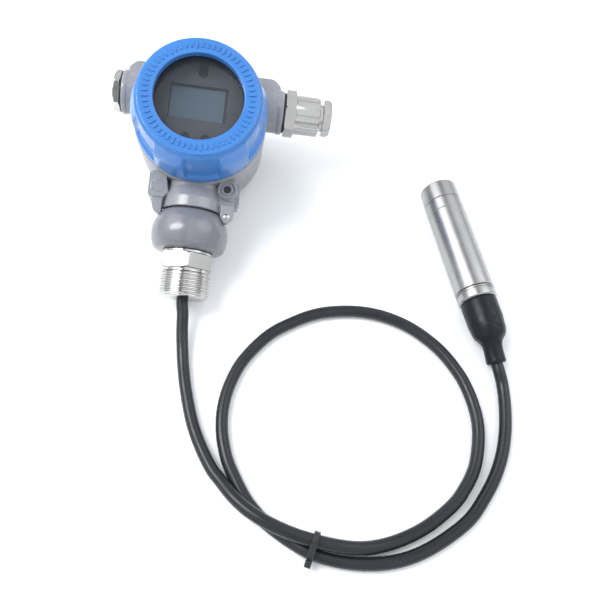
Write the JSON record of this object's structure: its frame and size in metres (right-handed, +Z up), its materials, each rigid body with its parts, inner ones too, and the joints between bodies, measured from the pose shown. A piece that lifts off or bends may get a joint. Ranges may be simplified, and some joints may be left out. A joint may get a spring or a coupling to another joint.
{
  "type": "submersible level transmitter",
  "caption": "Submersible level transmitter: a head with a display behind a round window, a cable tied in a loop and a steel pressure probe.",
  "frame": {"origin": "under the middle of the box of the head and the probe, on the table they lie on", "axes": "+Z up from the table; +X from the head's side to the probe's side; +Y from the cable's loop towards the head's housing"},
  "size_m": [0.2773, 0.3186, 0.115],
  "materials": {
    "bezel_grey": "dark grey, matt",
    "black_rubber": "matt black",
    "board_green": "green board lacquer",
    "boot_black": "black, satin",
    "brass": "turned",
    "cable_sheath": "dark grey sheath, satin",
    "cover_blue": "gloss blue enamel",
    "housing_grey": "semi-gloss grey enamel",
    "lcd_grey": "grey-green display film",
    "red_wire": "red insulation",
    "steel": "turned and brushed",
    "white_plastic": "white moulded",
    "window_glass": "clear"
  },
  "bodies": {
    "base": {"housing_body": "housing_grey", "display_bezel": "bezel_grey", "lcd_panel": "lcd_grey", "display_board": "board_green", "display_screw": "steel", "display_post_1": "brass", "display_post_2": "brass", "display_post_3": "brass", "terminal_board": "board_green", "board_standoff_1": "brass", "board_standoff_2": "brass", "board_standoff_3": "brass", "terminal_block": "white_plastic", "terminal_screw_1": "steel", "terminal_screw_2": "steel", "terminal_screw_3": "steel", "signal_wire_red": "red_wire", "signal_wire_black": "black_rubber", "neck_gasket": "black_rubber", "ball_adapter": "housing_grey", "steel_ring": "steel", "threaded_fitting": "steel", "cable_seal": "black_rubber", "cable_clamp_screw": "brass", "tag_rivet": "steel", "gland_gasket": "black_rubber", "gland_body": "steel", "gland_seal": "black_rubber", "gland_blanking_disc": "steel", "probe_nose_cap": "steel", "probe_tube": "steel", "sensor_capsule": "steel", "sensor_seal_ring": "black_rubber", "probe_collar": "steel", "probe_board": "board_green", "probe_boot": "boot_black", "cable": "cable_sheath", "zip_tie": "boot_black"},
    "cover_ring": {"cover_seal_ring": "black_rubber"},
    "cover": {"front_cover": "cover_blue", "window_gasket": "black_rubber", "window_glass": "window_glass", "glass_retaining_ring": "black_rubber"},
    "gland_washer": {"gland_thrust_washer": "brass"},
    "gland_cap": {"gland_nut": "steel"},
    "plug_ring": {"plug_gasket": "black_rubber"},
    "plug": {"blind_plug": "steel"},
    "left_key": {"key_left": "black_rubber"},
    "right_key": {"key_right": "black_rubber"}
  },
  "joints": [
    {"name": "cover_advance", "type": "slide", "parent": "base", "child": "cover_ring", "axis": [0.1426, -0.3129, 0.939], "range_m": [0, 0.006]},
    {"name": "cover_turn", "type": "hinge", "parent": "cover_ring", "child": "cover", "pos_m": [-0.07187, 0.03421, 0.08082], "axis": [0.1426, -0.3129, 0.939], "range_deg": [0, 1080]},
    {"name": "gland_nut_advance", "type": "slide", "parent": "base", "child": "gland_washer", "axis": [0.9898, 0.0451, -0.1353], "range_m": [0, 0.003]},
    {"name": "gland_nut_turn", "type": "hinge", "parent": "gland_washer", "child": "gland_cap", "pos_m": [0.00303, 0.06561, 0.04796], "axis": [0.9898, 0.0451, -0.1353], "range_deg": [0, 720]},
    {"name": "plug_advance", "type": "slide", "parent": "base", "child": "plug_ring", "axis": [-0.9898, -0.0451, 0.1353], "range_m": [0, 0.0045]},
    {"name": "plug_turn", "type": "hinge", "parent": "plug_ring", "child": "plug", "pos_m": [-0.13356, 0.05939, 0.06663], "axis": [-0.9898, -0.0451, 0.1353], "range_deg": [0, 1080]},
    {"name": "left_key_press", "type": "slide", "parent": "base", "child": "left_key", "axis": [-0.1426, 0.3129, -0.939], "range_m": [0, 0.0006], "stiffness_N_per_m": 400},
    {"name": "right_key_press", "type": "slide", "parent": "base", "child": "right_key", "axis": [-0.1426, 0.3129, -0.939], "range_m": [0, 0.0006], "stiffness_N_per_m": 400}
  ],
  "couplings": [
    {"joint": "cover_advance", "follows": "cover_turn", "m_per_rad": 0.00031831},
    {"joint": "gland_nut_advance", "follows": "gland_nut_turn", "m_per_rad": 0.00023873},
    {"joint": "plug_advance", "follows": "plug_turn", "m_per_rad": 0.00023873}
  ]
}
